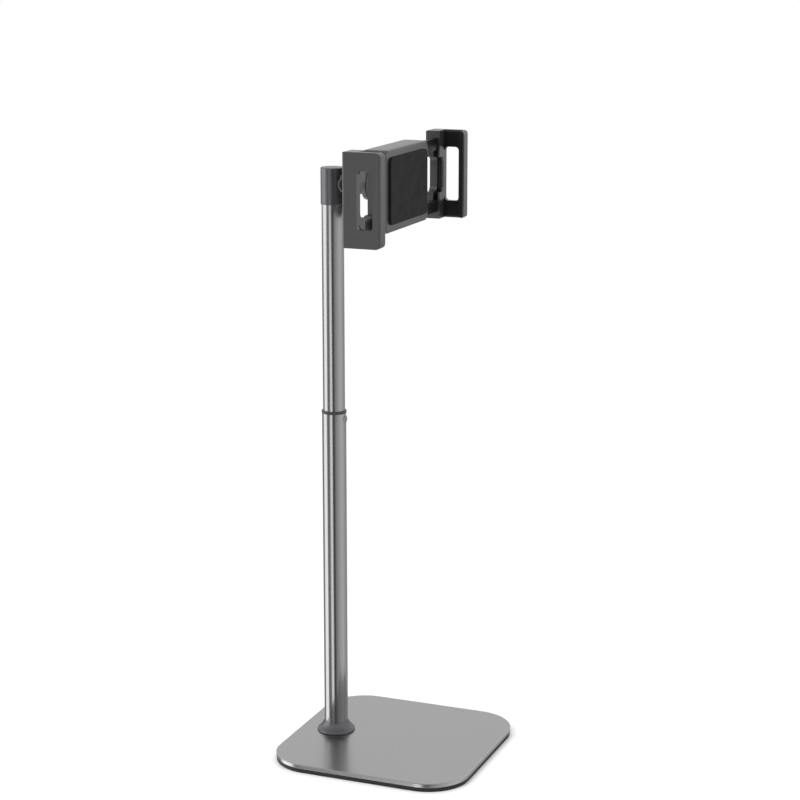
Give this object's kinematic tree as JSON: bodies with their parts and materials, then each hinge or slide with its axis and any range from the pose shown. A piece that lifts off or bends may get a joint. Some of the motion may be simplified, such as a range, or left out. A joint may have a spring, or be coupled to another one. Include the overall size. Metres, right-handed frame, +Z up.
{
  "type": "adjustable tablet stand",
  "caption": "Free-standing holder on a telescopic pole and flat base, with a tilting, turning head and coupled sliding jaws that grip a tablet by its edges.",
  "frame": {"origin": "centre of the base's underside", "axes": "+Z up along the pole, +X to the front, where the held device faces; the jaws open along Y"},
  "size_m": [0.166, 0.1904, 0.504],
  "materials": {
    "base_metal": "satin grey, polished bevel",
    "tube_metal": "drawn tube, satin with bright streaks",
    "dark_metal": "dark grey satin",
    "holder_plastic": "moulded dark grey, satin",
    "dark_plastic": "moulded, dark",
    "arm_alloy": "black anodised plate",
    "grip_rubber": "matt black",
    "base_rubber": "matt black",
    "nylon": "natural nylon",
    "zinc_steel": "zinc plated",
    "plug_alloy": "turned",
    "black_steel": "black oxide",
    "spring_steel": "spring wire"
  },
  "bodies": {
    "base": {"base_pad": "base_rubber", "base_plate": "base_metal", "foot_washer": "zinc_steel", "foot_bolt": "zinc_steel", "foot_plug": "plug_alloy", "foot_flange": "dark_metal", "lower_tube": "tube_metal", "collar_bush": "dark_plastic", "collar_rivet": "tube_metal"},
    "guide": {"guide_sleeve": "nylon", "guide_washer": "zinc_steel"},
    "mast": {"upper_tube": "tube_metal", "tube_plug": "plug_alloy", "guide_screw": "zinc_steel", "head_cap": "dark_metal"},
    "head": {"tilt_arm": "dark_metal", "hinge_bolt": "black_steel", "hinge_nut": "black_steel", "hinge_washers": "nylon"},
    "holder": {"friction_disc": "dark_plastic", "swivel_washer": "zinc_steel", "swivel_nut": "zinc_steel", "swivel_bolt": "zinc_steel", "rear_shell": "holder_plastic", "front_shell": "holder_plastic", "front_pad": "grip_rubber", "shell_screws": "black_steel", "near_spring": "spring_steel", "far_spring": "spring_steel"},
    "pinion": {"pinion": "nylon"},
    "near_clamp": {"near_arm": "arm_alloy", "near_jaw": "holder_plastic", "near_jaw_pad": "grip_rubber", "near_jaw_screws": "black_steel"},
    "far_clamp": {"far_arm": "arm_alloy", "far_jaw": "holder_plastic", "far_jaw_pad": "grip_rubber", "far_jaw_screws": "black_steel"}
  },
  "joints": [
    {"name": "height_slide", "type": "slide", "parent": "base", "child": "guide", "axis": [0, 0, 1], "range_m": [-0.165, 0.02]},
    {"name": "mast_swivel", "type": "hinge", "parent": "guide", "child": "mast", "pos_m": [-0.0533, 0, 0.23], "axis": [0, 0, 1], "continuous": true},
    {"name": "tilt", "type": "hinge", "parent": "mast", "child": "head", "pos_m": [-0.0381, 0, 0.468], "axis": [0, 1, 0], "range_deg": [-90, 45]},
    {"name": "holder_turn", "type": "hinge", "parent": "head", "child": "holder", "pos_m": [-0.0239, 0, 0.468], "axis": [1, 0, 0], "continuous": true},
    {"name": "near_jaw_slide", "type": "slide", "parent": "holder", "child": "near_clamp", "axis": [0, 1, 0], "range_m": [-0.006, 0.027], "deforming": ["near_spring"]},
    {"name": "far_jaw_slide", "type": "slide", "parent": "holder", "child": "far_clamp", "axis": [0, -1, 0], "range_m": [-0.006, 0.027], "deforming": ["far_spring"]},
    {"name": "pinion_turn", "type": "hinge", "parent": "holder", "child": "pinion", "pos_m": [-0.0023, 0, 0.468], "axis": [-1, 0, 0], "range_deg": [-43.5, 194]}
  ],
  "couplings": [
    {"joint": "far_jaw_slide", "follows": "near_jaw_slide", "ratio": 1},
    {"joint": "pinion_turn", "follows": "near_jaw_slide", "rad_per_m": 125}
  ]
}
